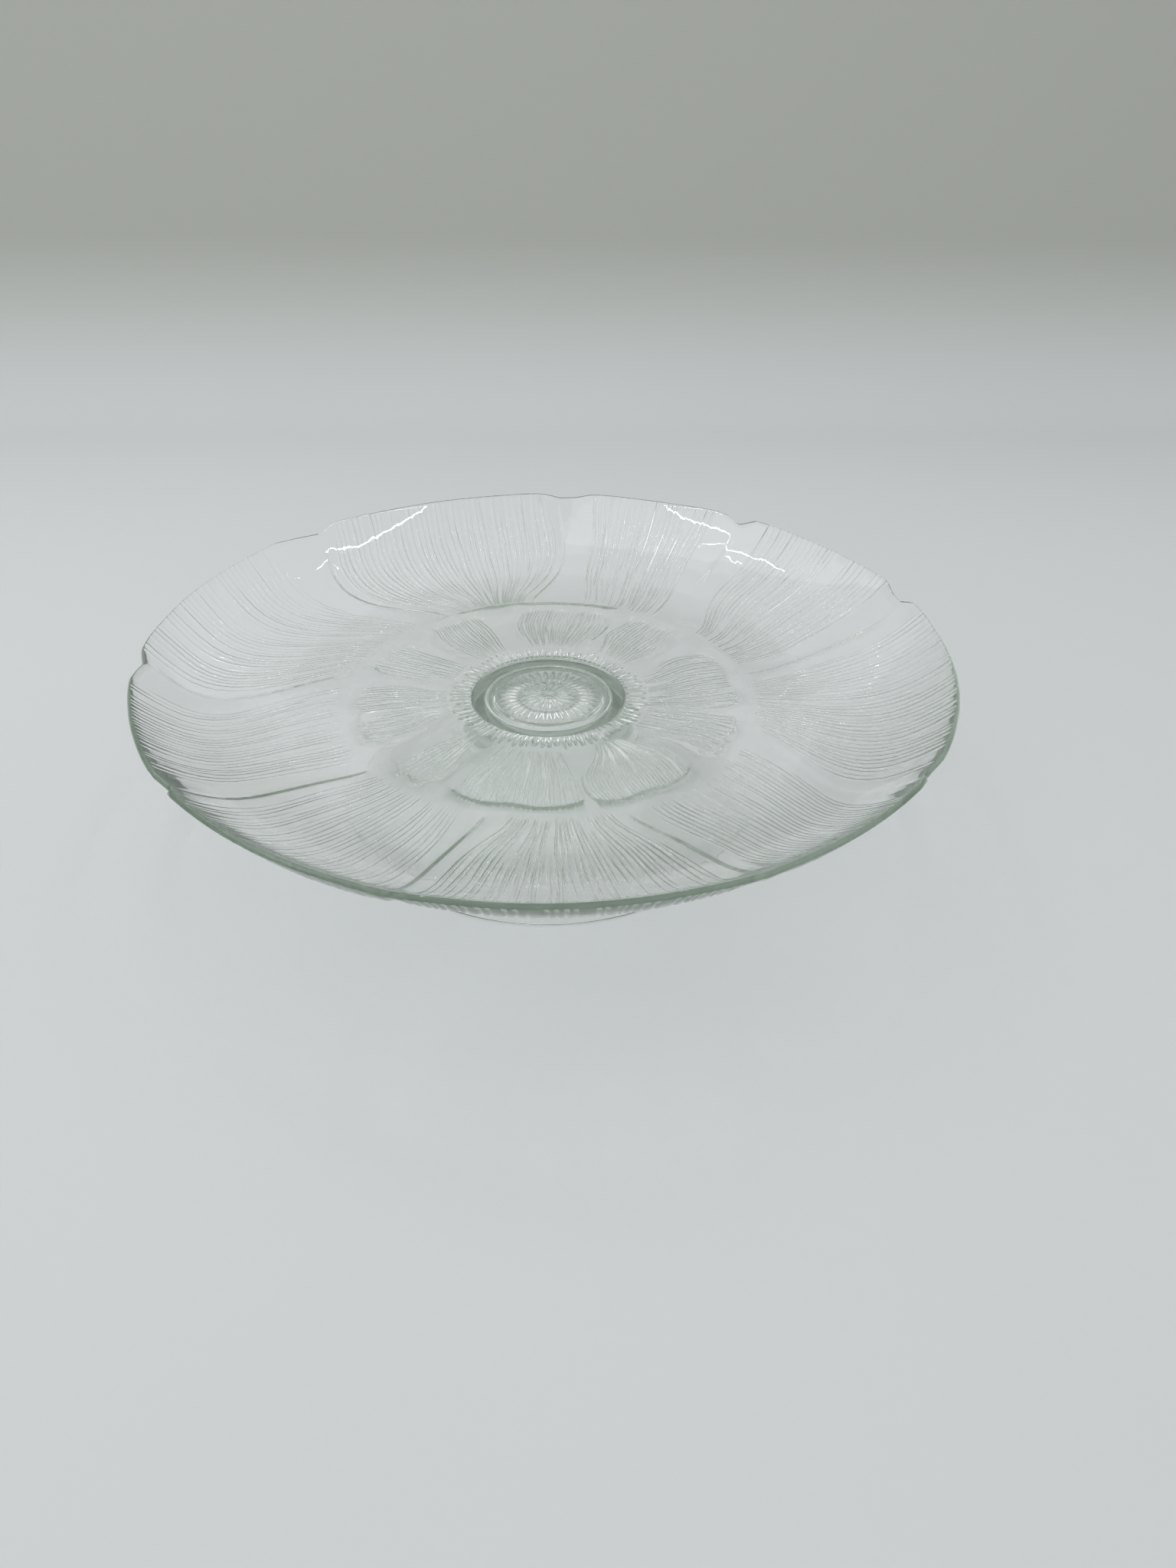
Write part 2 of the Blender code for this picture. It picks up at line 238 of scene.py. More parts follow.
# Engraved ribs: the distance between them in degrees at a share of the rim's radius, and their depth,
# for the petal after each gap
OUTER_RIB_PITCH = 1.08
OUTER_RIB_PLACE = 0.70
OUTER_RIB_DEPTHS = (
    0.00046, 0.00054, 0.00050, 0.00019, 0.00015, 0.00021, 0.00048, 0.00027, 0.00020,
)
INNER_RIB_PITCHES = (1.5, 1.3, 1.3, 1.5, 1.5, 1.6, 1.3, 1.25, 1.6, 1.6)
INNER_RIB_PLACE = 0.40
INNER_RIB_DEPTHS = (
    0.00032, 0.00030, 0.00028, 0.00034, 0.00037, 0.00040, 0.00037, 0.00037, 0.00038, 0.00039,
)

# Shape of a rib: half its width and its sideways moves as shares of the distance to the next one,
# its ends as shares of the petal's length, and the spans that uneven values are drawn from
RIB_HALF_WIDTH = 0.36
RIB_JITTER = 0.28
RIB_WOBBLE = 0.16
RIB_WAVES = (0.6, 2.2)
RIB_DEPTH_SPAN = (0.7, 1.15)
RIB_DEPTH_SWAY = 0.25
RIB_SWAY_RATE = 15.0
RIB_SHORT_SHARE = 0.22
RIB_BEGIN = (0.005, 0.04)
RIB_LATE_BEGIN = (0.1, 0.4)
RIB_EARLY_END = (0.6, 1.0)
RIB_NO_END = 2.0
RIB_FADE_IN = 0.04
RIB_FADE_OUT = 0.12
SEED = 11

# Rows of the mesh, as shares along the part they cross
WELL_ROWS = (0.05, 0.3, 0.6, 0.85)
TOP_ROWS = np.concatenate((np.linspace(0.0, 0.9, 15), [0.95, 0.985]))
PETAL_ROWS = np.concatenate(([0.0, 0.01, 0.02, 0.03, 0.06], np.linspace(0.11, 0.91, 13), [0.96, 1.0]))
FLOWER_ROWS = np.concatenate(([0.0], np.linspace(0.08, 0.9, 9), [0.945, 0.97, 1.0]))
BOSS_ROWS = (0.0, 0.2, 0.4, 0.6, 0.8, 1.0)
FLARE_ROWS = np.concatenate(([0.0, 0.005], np.linspace(0.02, 0.98, 40), [0.997, 1.0]))
TOOTH_ROWS = 9

# Round end of the lip as depths below the top and distances outwards, and of the foot's edge in degrees
LIP_CORNER = ((0.0, 0.0), (0.00005, 0.00018), (0.00025, 0.0003), (0.0011, 0.00034), (0.00185, 0.0003))
FOOT_CORNER = (0.0, -30.0, -60.0, -90.0)

# Columns of the mesh: in one rib's room, in a gap, and round the plain parts.
# The step in a gap lies between the columns at STEP_FROM and STEP_TO.
# Further in than TOP_COLUMNS_ROW, the smooth top keeps the angles that the columns have at that row.
RIB_SAMPLES = 6
GAP_PLACES = (0.12, 0.25, 0.33, 0.42, 0.5, 0.58, 0.67, 0.75, 0.88)
STEP_FROM = 0.25
STEP_TO = 0.75
TOP_COLUMNS_ROW = 0.35
WELL_STEPS = 96
FRINGE_RING_STEPS = 432
RING_STEPS = 192
BUTTON_STEPS = 36
FOOT_STEPS = 256

# Sizes that follow from those above
SERVING_HEIGHT = OVERALL_HEIGHT - DISH_DEPTH
LIP_RADIUS = RIM_RADIUS - LIP_INSET
DISH_RISE = DISH_DEPTH - LIP_RISE
DISH_CURVE = math.tan(RIM_ANGLE) * (LIP_RADIUS - WELL_RADIUS) / DISH_RISE
BORE_RADIUS = STEM_RADIUS - STEM_WALL
COLLAR_OUTER = STEM_RADIUS + COLLAR_OUTER_MARGIN
COLLAR_INNER = BORE_RADIUS - COLLAR_INNER_MARGIN
FRINGE_INNER = COLLAR_OUTER + COLLAR_OUTER_FLANK + FRINGE_MARGIN
FLOWER_INNER = FRINGE_OUTER + FLOWER_MARGIN
FOOT_TOP = SERVING_HEIGHT - WELL_THICKNESS - COLLAR_DROP + FUSED_DEPTH

# Steps in the order of the petals: each petal with the step in the gap after it
STEP_PLACE, STEP_WIDTH, STEP_SIDE, STEP_STRENGTH, STEP_FADE = np.roll(OUTER_STEPS, -1, axis=0).T

# Parts of a flower that a column of the mesh can lie in
BODY, GAP = range(2)

random = np.random.RandomState(SEED)


def smooth(value):
    """Eased step from 0 to 1."""
    value = np.clip(value, 0.0, 1.0)
    return value * value * (3.0 - 2.0 * value)


def turn_from(place, angle):
    """Turn from a place to an angle in degrees, the short way round."""
    return (angle - place + 180.0) % 360.0 - 180.0


# Turned shape of the plate


def rise_share(radius):
    """Share of the way from the well out to the lip."""
    return np.maximum(0.0, radius - WELL_RADIUS) / (LIP_RADIUS - WELL_RADIUS)


def top_height(radius):
    """Height of the upper surface."""
    return SERVING_HEIGHT + DISH_RISE * rise_share(radius) ** DISH_CURVE


def top_angle(radius):
    """Slope of the upper surface."""
    return np.arctan(math.tan(RIM_ANGLE) * rise_share(radius) ** (DISH_CURVE - 1.0))


def under_point(radius, relief):
    """Radius and height of the underside, square below the upper surface."""
    depth = WELL_THICKNESS + (LIP_THICKNESS - WELL_THICKNESS) * rise_share(radius) + relief
    angle = top_angle(radius)
    return radius + depth * np.sin(angle), top_height(radius) - depth * np.cos(angle)


def ring(angle, radius, height):
    """One ring of the mesh as an array of points."""
    angle, radius, height = np.broadcast_arrays(angle, radius, height)
    return np.stack((radius * np.cos(angle), radius * np.sin(angle), height), axis=1)


def turn(steps):
    """Angles of the points of a plain ring."""
    return 2.0 * math.pi * np.arange(steps) / steps


# Columns of the two flowers


class Columns:
    """Columns of the mesh round a flower, with the ribs beside each of them.

    A column has its petal, the part of the flower that it lies in, its place across the gap,
    the rib before it, and its share of the way from there to the next rib.
    """

    def __init__(self, counts, samples, depths):
        cells, places, edges, deep = [], [], [], []
        for petal, count in enumerate(counts):
            first = len(places)
            last = first + count - 1
            jitter = random.uniform(-RIB_JITTER, RIB_JITTER, count + 1)
            jitter[[0, -1]] = 0.0
            places += list((np.arange(count + 1) + jitter) / count)
            edges += [first, first + count]
            deep += [depths[petal]] * (count + 1)
            for rib in range(first, first + count):
                cells += [(petal, BODY, 0.0, rib, step / samples) for step in range(samples)]
            cells += [(petal, BODY, 0.0, last, 1.0)]
            cells += [(petal, GAP, spot, last, 1.0) for spot in GAP_PLACES]
        cells = np.array(cells)
        self.petal = cells[:, 0].astype(int)
        self.zone = cells[:, 1].astype(int)
        self.value = cells[:, 2]
        self.rib = cells[:, 3].astype(int)
        self.share = cells[:, 4]
        self.places = np.array(places)
        ribs = len(places)
        self.depth = np.array(deep) * random.uniform(*RIB_DEPTH_SPAN, ribs)
        self.depth[edges] = 0.0
        self.reach = np.abs(np.diff(self.places, append=1.0))
        self.reach[edges] = 0.0
        late = random.uniform(size=ribs) < RIB_SHORT_SHARE
        early = random.uniform(size=ribs) < RIB_SHORT_SHARE
        late_begin = random.uniform(*RIB_LATE_BEGIN, ribs)
        usual_begin = random.uniform(*RIB_BEGIN, ribs)
        self.begin = np.where(late, late_begin, usual_begin)
        self.end = np.where(early, random.uniform(*RIB_EARLY_END, ribs), RIB_NO_END)
        self.wave = random.uniform(*RIB_WAVES, ribs)
        self.phase = random.uniform(0.0, 2.0 * math.pi, ribs)

    def place(self, row):
        """Place of each column across its petal, with the ribs' slow wobble."""
        shift = RIB_WOBBLE * np.sin(self.phase + 2.0 * math.pi * self.wave * row)
        spots = self.places + shift * self.reach
        start, end = spots[self.rib], spots[self.rib + 1]
        return np.clip(start + (end - start) * self.share, 0.0, 1.0)

    def groove(self, row):
        """Depth of the engraved ribs at each column."""
        fade = smooth((row - self.begin) / RIB_FADE_IN) * (1.0 - smooth((row - self.end) / RIB_FADE_OUT))
        depth = self.depth * fade * (1.0 + RIB_DEPTH_SWAY * np.sin(self.phase + RIB_SWAY_RATE * row))
        near = np.maximum(0.0, 1.0 - self.share / RIB_HALF_WIDTH) ** 2
        far = np.maximum(0.0, 1.0 - (1.0 - self.share) / RIB_HALF_WIDTH) ** 2
        cut = depth[self.rib] * near + depth[self.rib + 1] * far
        return np.where(self.zone == BODY, cut, 0.0)

    def angle(self, lefts, rights, place, between):
        """Angle of each column in degrees, from the edges of the petals."""
        following = np.append(lefts[1:], lefts[0] + 360.0)
        left, right, after = lefts[self.petal], rights[self.petal], following[self.petal]
        inside = left + (right - left) * place
        return np.where(self.zone == GAP, right + (after - right) * between, inside)


def petal_edges(gaps, places, share):
    """Left and right edges of the petals in degrees, at a share of the rim's radius."""
    spots = share + EDGE_EASE * np.linspace(-1.0, 1.0, EDGE_SAMPLES)
    before = np.array([np.interp(spots, places, edge).mean() for edge, _ in gaps])
    after = np.array([np.interp(spots, places, edge).mean() for _, edge in gaps])
    return after, np.append(before[1:], before[0] + 360.0)


# Outer flower


def outer_counts():
    """Number of ribs across each outer petal."""
    lefts, rights = petal_edges(OUTER_GAPS, OUTER_PLACES, OUTER_RIB_PLACE)
    return [round(width / OUTER_RIB_PITCH) for width in rights - lefts]


def outer_share(row):
    """Radius of a row as a share of the rim's radius."""
    return (PETAL_BASE_RADIUS + (LIP_RADIUS - PETAL_BASE_RADIUS) * row) / RIM_RADIUS


def outer_angle(columns, row):
    """Angle of each column of a row in degrees. The step in a gap has columns of its own."""
    share = outer_share(row)
    lefts, rights = petal_edges(OUTER_GAPS, OUTER_PLACES, share)
    gap = np.radians(np.append(lefts[1:], lefts[0] + 360.0) - rights) * share * RIM_RADIUS
    half = np.minimum(STEP_HALF_LIMIT, STEP_WIDTH / 2.0 / gap)
    low = np.maximum(STEP_MARGIN, STEP_PLACE - half)[columns.petal]
    high = np.minimum(1.0 - STEP_MARGIN, STEP_PLACE + half)[columns.petal]
    value = columns.value
    before = low * value / STEP_FROM
    across = low + (high - low) * (value - STEP_FROM) / (STEP_TO - STEP_FROM)
    after = high + (1.0 - high) * (value - STEP_TO) / (1.0 - STEP_TO)
    between = np.select([value < STEP_FROM, value < STEP_TO], [before, across], after)
    return columns.angle(lefts, rights, columns.place(row), between)


def notch_shape(angle):
    """How far the rim is drawn in at an angle in degrees. Corners beside a notch stand out instead."""
    drawn = 0.0
    for place, depth, before, after in NOTCHES:
        turned = turn_from(place, angle)
        reach = np.where(turned < 0.0, before, after)
        inside = smooth(np.abs(turned) / reach)
        lift = NOTCH_LIFT * inside * (1.0 - smooth((np.abs(turned) - reach) / NOTCH_LIFT_WIDTH))
        drawn = drawn + depth * (1.0 - inside - lift)
    return drawn


def lip_radius(columns):
    """Radius of the rim at each column."""
    return LIP_RADIUS - notch_shape(outer_angle(columns, 1.0))


def valley(columns, row):
    """How far the whole glass dips between two petals towards the rim."""
    angle = outer_angle(columns, 1.0)
    dip = 0.0
    for notch in NOTCHES:
        turned = np.abs(turn_from(notch[0], angle))
        dip = dip + np.maximum(0.0, 1.0 - turned / TOP_VALLEY_WIDTH) ** TOP_VALLEY_POWER
    return TOP_VALLEY * dip * smooth((row - TOP_VALLEY_START) / TOP_VALLEY_LENGTH)


def petal_relief(columns, row):
    """How far the petals stand out from the underside, without their ribs."""
    faded = STEP_FADE_SHARE * smooth((outer_share(row) - STEP_FADE) / STEP_FADE_LENGTH)
    thin = 1.0 - STEP_STRENGTH * (1.0 - faded)
    before = np.where(STEP_SIDE < 0, 1.0, thin)
    after = np.where(STEP_SIDE > 0, 1.0, thin)
    left = np.roll(after, 1)[columns.petal]
    right = before[columns.petal]
    following = after[columns.petal]
    place = columns.place(row)
    across = left + (right - left) * place
    between = right + (following - right) * smooth((columns.value - STEP_FROM) / (STEP_TO - STEP_FROM))
    height = np.where(columns.zone == GAP, between, across)
    angle = outer_angle(columns, row) % 360.0
    front = np.maximum(0.0, -np.sin(np.radians(angle))) ** FRONT_POWER
    grown = np.interp(row, (PETAL_BULGE_START, PETAL_BULGE_ROW), (0.0, 1.0)) ** PETAL_BULGE_POWER
    bulge = PETAL_BULGE * front * grown
    arch = np.where(columns.zone == GAP, 0.0, 4.0 * place * (1.0 - place))
    crown = PETAL_CROWN * arch + bulge * (PETAL_BULGE_EDGE + (1.0 - PETAL_BULGE_EDGE) * np.sqrt(arch))
    ridge = BASE_RIDGE * np.interp(angle, BASE_RIDGE_PLACES, BASE_RIDGE_SHARES)
    ridge = ridge * smooth(row / BASE_RIDGE_RISE) * (1.0 - smooth(row / BASE_RIDGE_END))
    end = min(1.0, (1.0 - row) / (1.0 - PETAL_BULGE_ROW))
    return ridge + (PETAL_RELIEF * height + crown) * smooth(row / PETAL_EASE) * end


def petal_row(columns, row):
    """Ring of the underside across the outer flower."""
    relief = petal_relief(columns, row) - columns.groove(row)
    spread = PETAL_BASE_RADIUS + (lip_radius(columns) - PETAL_BASE_RADIUS) * row
    radius, height = under_point(spread, relief)
    return ring(np.radians(outer_angle(columns, row)), radius, height - valley(columns, row))


def lip_rows(columns):
    """Rings of the lip's smooth end."""
    angle = np.radians(outer_angle(columns, 1.0))
    top_radius = lip_radius(columns)
    tilt = top_angle(top_radius)
    drop = top_height(top_radius) - valley(columns, 1.0)
    made = []
    for depth, out in LIP_CORNER:
        radius = top_radius + depth * np.sin(tilt) + out * np.cos(tilt)
        made.append(ring(angle, radius, drop - depth * np.cos(tilt) + out * np.sin(tilt)))
    return made


def top_row(columns, row):
    """Ring of the smooth upper surface, which dips a little between the petals."""
    radius = WELL_RADIUS + (lip_radius(columns) - WELL_RADIUS) * row
    angle = np.radians(outer_angle(columns, max(row, TOP_COLUMNS_ROW)))
    return ring(angle, radius, top_height(radius) - valley(columns, row))


# Inner flower


def inner_counts():
    """Number of ribs across each inner petal."""
    lefts, rights = petal_edges(INNER_GAPS, INNER_PLACES, INNER_RIB_PLACE)
    return [round(width / pitch) for width, pitch in zip(rights - lefts, INNER_RIB_PITCHES)]


def flower_row(columns, row):
    """Ring of the underside across the inner flower, whose petals have two-lobed tips."""
    place = columns.place(row)
    inside = columns.zone == BODY
    corner = np.where(inside, FLOWER_CORNER * (2.0 * place - 1.0) ** FLOWER_CORNER_POWER, FLOWER_CORNER)
    dent = np.exp(-((place - FLOWER_DIP_PLACE) / FLOWER_DIP_WIDTH) ** 2)
    dip = np.where(inside, FLOWER_DIP * dent, 0.0)
    radius = FLOWER_INNER + (FLOWER_RADIUS - corner - dip - FLOWER_INNER) * row
    share = (FLOWER_INNER + (FLOWER_RADIUS - FLOWER_INNER) * row) / RIM_RADIUS
    lefts, rights = petal_edges(INNER_GAPS, INNER_PLACES, share)
    middle = np.sin(math.pi * columns.value)
    sunk = np.where(inside, 0.0, FLOWER_GAP_DIP * middle)
    tip = np.where(inside, FLOWER_TIP, FLOWER_TIP + FLOWER_GAP_TIP * middle)
    relief = FLOWER_RELIEF * (1.0 - sunk) * smooth(row / FLOWER_EASE) * smooth((1.0 - row) / tip)
    groove = columns.groove(row) * smooth((1.0 - row) / FLOWER_RIB_END)
    spot_radius, height = under_point(radius, relief - groove)
    return ring(np.radians(columns.angle(lefts, rights, place, columns.value)), spot_radius, height)


# Middle of the underside


def ground(radius):
    """Relief of the middle without its teeth: level outside the stem, a dished boss inside it."""
    if radius > BOSS_OUTER:
        return 0.0
    return BOSS_RELIEF - DISHED_DEPTH * smooth((DISHED_OUTER - radius) / (DISHED_OUTER - DISHED_INNER))


def teeth_rows(count, inner, outer, relief, shape):
    """Rings of a band of radial teeth, raised or cut, each narrower towards its outer end."""
    wide, narrow, uneven = shape
    tooth = np.repeat(np.arange(count), len(TOOTH_PLACES))
    spot = np.tile(TOOTH_PLACES, count)
    jitter = random.uniform(-uneven, uneven, count)
    slant = random.uniform(-uneven, uneven, count)
    length = random.uniform(1.0 - TOOTH_SHORTENING * uneven, 1.0, count)[tooth]
    made = []
    for row in np.linspace(1.0, 0.0, TOOTH_ROWS):
        borders = np.arange(count) + jitter + slant * row
        following = np.append(borders[1:], borders[0] + count)
        angle = 2.0 * math.pi / count * (borders[tooth] + (following - borders)[tooth] * spot)
        width = wide + (narrow - wide) * np.minimum(1.0, row / length)
        rise = smooth((width / 2.0 - np.abs(spot - 0.5)) / TOOTH_EDGE + 0.5)
        rise = rise * smooth((length - row) / TOOTH_TIP) * smooth(row / TOOTH_ROOT)
        radius = inner + (outer - inner) * row
        made.append(ring(angle, *under_point(radius, ground(radius) + relief * rise)))
    return made


def plain(radius, relief, steps=RING_STEPS):
    """Plain ring of the underside."""
    return ring(turn(steps), *under_point(np.full(steps, radius), relief))


def collar_rows():
    """Rings of the collar that the foot is fused to, from its outer flank to its inner one."""
    bend = COLLAR_BEND_DROP * COLLAR_DROP
    return [
        plain(COLLAR_OUTER + COLLAR_OUTER_FLANK, 0.0),
        plain(COLLAR_OUTER + COLLAR_BEND_PLACE * COLLAR_OUTER_FLANK, bend),
        plain(COLLAR_OUTER, COLLAR_DROP),
        plain(COLLAR_OUTER - CORNER, COLLAR_DROP),
        plain(COLLAR_INNER + CORNER, COLLAR_DROP),
        plain(COLLAR_INNER, COLLAR_DROP),
        plain(COLLAR_INNER - COLLAR_BEND_PLACE * COLLAR_INNER_FLANK, bend),
        plain(COLLAR_INNER - COLLAR_INNER_FLANK, 0.0),
    ]


def middle_rows():
    """Rings of the underside from the flower's base in to the star."""
    rows = [plain(FRINGE_OUTER + 0.5 * FLOWER_MARGIN, 0.0, FRINGE_RING_STEPS)]
    rows += teeth_rows(FRINGE_TEETH, FRINGE_INNER, FRINGE_OUTER, FRINGE_RELIEF, FRINGE_SHAPE)
    rows += collar_rows()
    for share in BOSS_ROWS:
        rows.append(plain(BOSS_OUTER + (BOSS_INNER - BOSS_OUTER) * share, BOSS_RELIEF * smooth(share)))
    rows += teeth_rows(BURST_TEETH, BURST_INNER, BURST_OUTER, BURST_RELIEF, BURST_SHAPE)
    rows += teeth_rows(STAR_RAYS, STAR_INNER, STAR_OUTER, STAR_RELIEF, STAR_SHAPE)
    base = ground(BUTTON_RADIUS)
    rows.append(plain(BUTTON_RADIUS + BUTTON_FLANK, base, BUTTON_STEPS))
    rows.append(plain(BUTTON_RADIUS, base + BUTTON_RELIEF, BUTTON_STEPS))
    return rows


# Meshes


def join_rings(upper, lower, first, second):
    """Faces between two rings, whose points start at these numbers."""
    count, other = len(upper), len(lower)
    if count == other:
        step = np.arange(count)
        after = (step + 1) % count
        return np.stack((first + step, second + step, second + after, first + after), axis=1).tolist()
    angles = np.unwrap(np.arctan2(upper[:, 1], upper[:, 0]))
    others = np.unwrap(np.arctan2(lower[:, 1], lower[:, 0]))
    apart = np.abs((others - angles[0] + math.pi) % (2.0 * math.pi) - math.pi)
    offset = int(np.argmin(apart))
    others = np.unwrap(np.roll(others, -offset))
    others += 2.0 * math.pi * round((angles[0] - others[0]) / (2.0 * math.pi))
    angles = np.append(angles, angles[0] + 2.0 * math.pi)
    others = np.append(others, others[0] + 2.0 * math.pi)
    here, there = 0, 0
    faces = []
    # Triangles step along whichever ring lags behind in angle
    while here < count or there < other:
        over = first + here % count
        under = second + (there + offset) % other
        move_upper = there == other
        if here < count and not move_upper:
            move_upper = angles[here + 1] + angles[here] < others[there + 1] + others[there]
        if move_upper:
            here += 1
            faces.append((over, under, first + here % count))
        else:
            there += 1
            faces.append((over, under, second + (there + offset) % other))
    return faces


def add_piece(name, rows, caps, material):
    """Piece from rings that follow one another, closed by two end points or joined up in a loop."""
    starts = np.cumsum([0] + [len(row) for row in rows])
    faces = []
    for index in range(len(rows) - 1):
        faces += join_rings(rows[index], rows[index + 1], starts[index], starts[index + 1])
    points = np.concatenate(rows)
    if caps is None:
        faces += join_rings(rows[-1], rows[0], starts[-2], starts[0])
    else:
        points = np.concatenate((points, caps))
        head, tail = len(points) - 2, len(points) - 1
        count = len(rows[0])
        faces += [(head, step, (step + 1) % count) for step in range(count)]
        count = len(rows[-1])
        base = starts[-2]
        faces += [(tail, base + (step + 1) % count, base + step) for step in range(count)]
    mesh = bpy.data.meshes.new(name)
    mesh.from_pydata(points.tolist(), [], faces)
    mesh.shade_smooth()
    mesh.materials.append(material)
    piece = bpy.data.objects.new(name, mesh)
    bpy.context.scene.collection.objects.link(piece)
    return piece


def plain_top(radius):
    """Plain ring of the upper surface."""
    return ring(turn(WELL_STEPS), np.full(WELL_STEPS, radius), top_height(np.full(WELL_STEPS, radius)))


def make_plate(material):
    """Plate, from the middle of its top out to the rim and back under it to the star."""
    fine = Columns(outer_counts(), RIB_SAMPLES, OUTER_RIB_DEPTHS)
    coarse = Columns(outer_counts(), 1, OUTER_RIB_DEPTHS)
    flower = Columns(inner_counts(), RIB_SAMPLES, INNER_RIB_DEPTHS)
    rows = [plain_top(WELL_RADIUS * share) for share in WELL_ROWS]
    rows += [top_row(coarse, row) for row in TOP_ROWS]
    rows += lip_rows(fine)
    rows += [petal_row(fine, row) for row in reversed(PETAL_ROWS)]
    rows += [flower_row(flower, row) for row in reversed(FLOWER_ROWS)]
    rows += middle_rows()
    tip = under_point(np.zeros(1), ground(0.0) + BUTTON_RELIEF)[1][0]
    caps = np.array(((0.0, 0.0, SERVING_HEIGHT), (0.0, 0.0, tip)))
    piece = add_piece("glass_plate", rows, caps, material)
    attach(piece, "root")
    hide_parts("plate")


def flare_point(share):
    """Point of the foot's outside, from the stem at 0 to the foot's edge at 1."""
    height = FOOT_EDGE + (FOOT_TOP - FOOT_EDGE) * (1.0 - share) ** FOOT_SETTLE
    return STEM_RADIUS + (FOOT_RADIUS - STEM_RADIUS) * share ** FOOT_FLARE, height


def bore_point(share):
    """Point of the foot's inside, one wall in from its outside."""
    radius, height = flare_point(share)
    spread = (FOOT_RADIUS - STEM_RADIUS) * FOOT_FLARE * share ** (FOOT_FLARE - 1.0)
    drop = (FOOT_TOP - FOOT_EDGE) * FOOT_SETTLE * (1.0 - share) ** (FOOT_SETTLE - 1.0)
    length = math.hypot(spread, drop)
    fade = 1.0 - smooth((share - NECK_FADE) / NECK_FADE_LENGTH)
    swell = NECK_SWELL * smooth(share / NECK_FULL) * fade
    wall = STEM_WALL + (FOOT_WALL - STEM_WALL) * share + swell
    return radius - wall * drop / length, height - wall * spread / length


def foot_outline():
    """Radii and heights of the foot's section, down its outside, under its edge and up its inside."""
    outline = [(STEM_RADIUS - CORNER, FOOT_TOP)]
    outline += [flare_point(share) for share in FLARE_ROWS]
    edge_radius = FOOT_RADIUS - FOOT_ROUND
    for angle in np.radians(FOOT_CORNER):
        radius = edge_radius + FOOT_ROUND * math.cos(angle)
        outline.append((radius, FOOT_ROUND + FOOT_ROUND * math.sin(angle)))
    ring_inner = FOOT_RADIUS - FOOT_RING_WIDTH
    outline += [(edge_radius - CORNER, 0.0), (ring_inner + CORNER, 0.0), (ring_inner, 0.0)]
    inside = [bore_point(share) for share in FLARE_ROWS]
    outline += [spot for spot in reversed(inside) if spot[0] < ring_inner and spot[1] > FOOT_ROUND]
    outline.append((BORE_RADIUS + CORNER, FOOT_TOP))
    return outline


def make_foot(material):
    """Hollow foot, turned from its outline."""
    angle = turn(FOOT_STEPS)
    rows = [ring(angle, radius, height) for radius, height in foot_outline()]
    piece = add_piece("glass_foot", rows, None, material)
    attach(piece, "root")
    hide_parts("pedestal_foot")


# Materials

WHITE = (1.0, 1.0, 1.0, 1.0)
GLASS_IOR = 1.52
GLASS_TINT = (0.20, 0.37, 0.215, 1.0)
PLATE_DENSITY = 8.0
PLATE_WAVE_SIZE = 0.008
PLATE_WAVE_HEIGHT = 0.00004
# Painted shade: the foot is the plate's green glass, made denser to darken the ring round the stem
FOOT_DENSITY_WITH_SHADE = 21.0
FOOT_WAVE_SIZE = 0.05
FOOT_WAVE_HEIGHT = 0.00005
WAVE_DETAIL = 2.0
POLISH_WAVES = (0.3, 0.8)
POLISH_ROUGHNESS = (0.0, 0.03)


def set_span(node, side, span):
    """Ends of a Map Range node's From or To side."""
    node.inputs[side + " Min"].default_value = span[0]
    node.inputs[side + " Max"].default_value = span[1]


def glass(name, density, wave_size, wave_height):
    """Clear glass with a faint green body colour (denser as painted shade in the foot), slow waves and a
    slightly uneven polish.
    """
    material = bpy.data.materials.new(name)
    material.use_nodes = True
    nodes, links = material.node_tree.nodes, material.node_tree.links
    shader = nodes["Principled BSDF"]
    shader.inputs["Base Color"].default_value = WHITE
    shader.inputs["IOR"].default_value = GLASS_IOR
    shader.inputs["Transmission Weight"].default_value = 1.0
    place = nodes.new("ShaderNodeTexCoord")
    waves = nodes.new("ShaderNodeTexNoise")
    waves.inputs["Scale"].default_value = 1.0 / wave_size
    waves.inputs["Detail"].default_value = WAVE_DETAIL
    bump = nodes.new("ShaderNodeBump")
    bump.inputs["Distance"].default_value = wave_height
    polish = nodes.new("ShaderNodeMapRange")
    set_span(polish, "From", POLISH_WAVES)
    set_span(polish, "To", POLISH_ROUGHNESS)
    links.new(place.outputs["Object"], waves.inputs["Vector"])
    links.new(waves.outputs["Fac"], bump.inputs["Height"])
    links.new(bump.outputs["Normal"], shader.inputs["Normal"])
    links.new(waves.outputs["Fac"], polish.inputs["Value"])
    links.new(polish.outputs["Result"], shader.inputs["Roughness"])
    body = nodes.new("ShaderNodeVolumeAbsorption")
    body.inputs["Color"].default_value = GLASS_TINT
    body.inputs["Density"].default_value = density
    links.new(body.outputs["Volume"], nodes["Material Output"].inputs["Volume"])
    return material


# Stage

FLOOR_COLOUR = (0.570, 0.586, 0.588)
# Painted shade: the upright paper gets a greyer colour for the less light that reaches it
WALL_PAINTED_SHADE = (0.480, 0.490, 0.455)
# Painted light: the paper pales again towards the wall's top edge, fading into the bright surround
WALL_PAINTED_LIGHT = (0.85, 0.86, 0.86)
PAPER_VARIATION = 0.012
PAPER_VARIATION_SCALE = 3.0
PAPER_ROUGHNESS = 0.8
PAPER_SHEEN = 0.2
SWEEP_START = 0.47
SWEEP_RADIUS = 0.12
SWEEP_STEPS = 24
WALL_HEIGHT = 0.42
